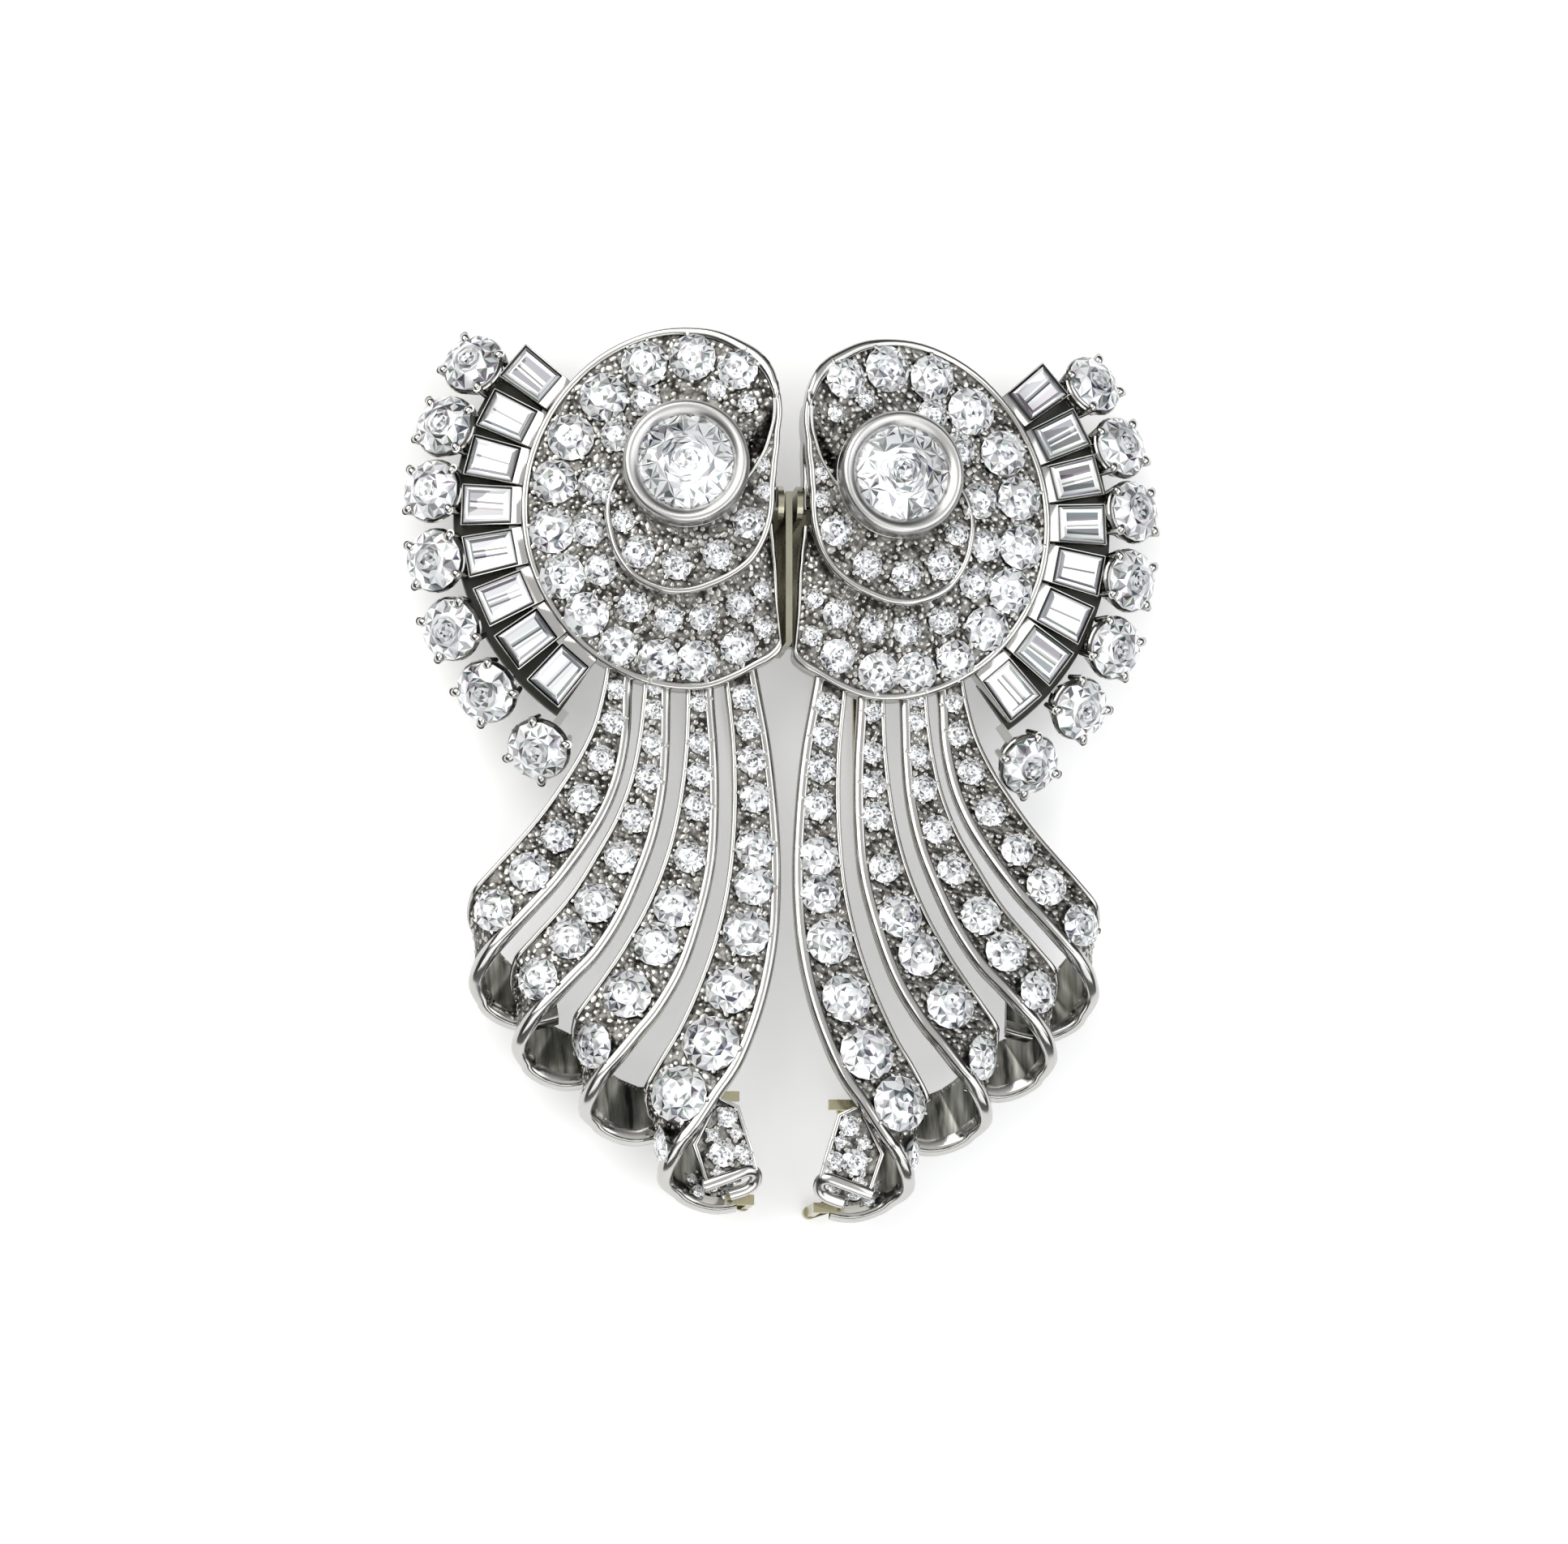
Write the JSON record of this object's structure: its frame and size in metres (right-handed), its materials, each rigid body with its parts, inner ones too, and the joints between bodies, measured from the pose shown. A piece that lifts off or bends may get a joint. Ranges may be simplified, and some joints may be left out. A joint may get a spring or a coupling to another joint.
{
  "type": "double clip brooch",
  "caption": "Double clip brooch of two mirrored scroll clips with diamond-set ribbons, baguettes and claw-set rounds on one frame.",
  "frame": {"origin": "under the middle of the brooch, on the plane it lies on", "axes": "+X to the right, +Y toward the scroll heads, +Z out of the jewelled face"},
  "size_m": [0.0536, 0.062, 0.0127],
  "materials": {
    "platinum": "polished",
    "diamond": "faceted, clear",
    "gold": "polished"
  },
  "bodies": {
    "root": {"brooch_frame": "gold", "pin": "gold", "left_clip_mount": "platinum", "left_clip_fork": "gold", "left_centre_diamond": "diamond", "left_baguette_1": "diamond", "left_baguette_2": "diamond", "left_baguette_3": "diamond", "left_baguette_4": "diamond", "left_baguette_5": "diamond", "left_baguette_6": "diamond", "left_baguette_7": "diamond", "left_baguette_8": "diamond", "left_round_diamond_1": "diamond", "left_round_diamond_2": "diamond", "left_round_diamond_3": "diamond", "left_round_diamond_4": "diamond", "left_round_diamond_5": "diamond", "left_round_diamond_6": "diamond", "left_round_diamond_7": "diamond", "left_head_pave": "diamond", "left_ribbon_pave": "diamond", "right_clip_mount": "platinum", "right_clip_fork": "gold", "right_centre_diamond": "diamond", "right_baguette_1": "diamond", "right_baguette_2": "diamond", "right_baguette_3": "diamond", "right_baguette_4": "diamond", "right_baguette_5": "diamond", "right_baguette_6": "diamond", "right_baguette_7": "diamond", "right_baguette_8": "diamond", "right_round_diamond_1": "diamond", "right_round_diamond_2": "diamond", "right_round_diamond_3": "diamond", "right_round_diamond_4": "diamond", "right_round_diamond_5": "diamond", "right_round_diamond_6": "diamond", "right_round_diamond_7": "diamond", "right_head_pave": "diamond", "right_ribbon_pave": "diamond"}
  },
  "joints": []
}
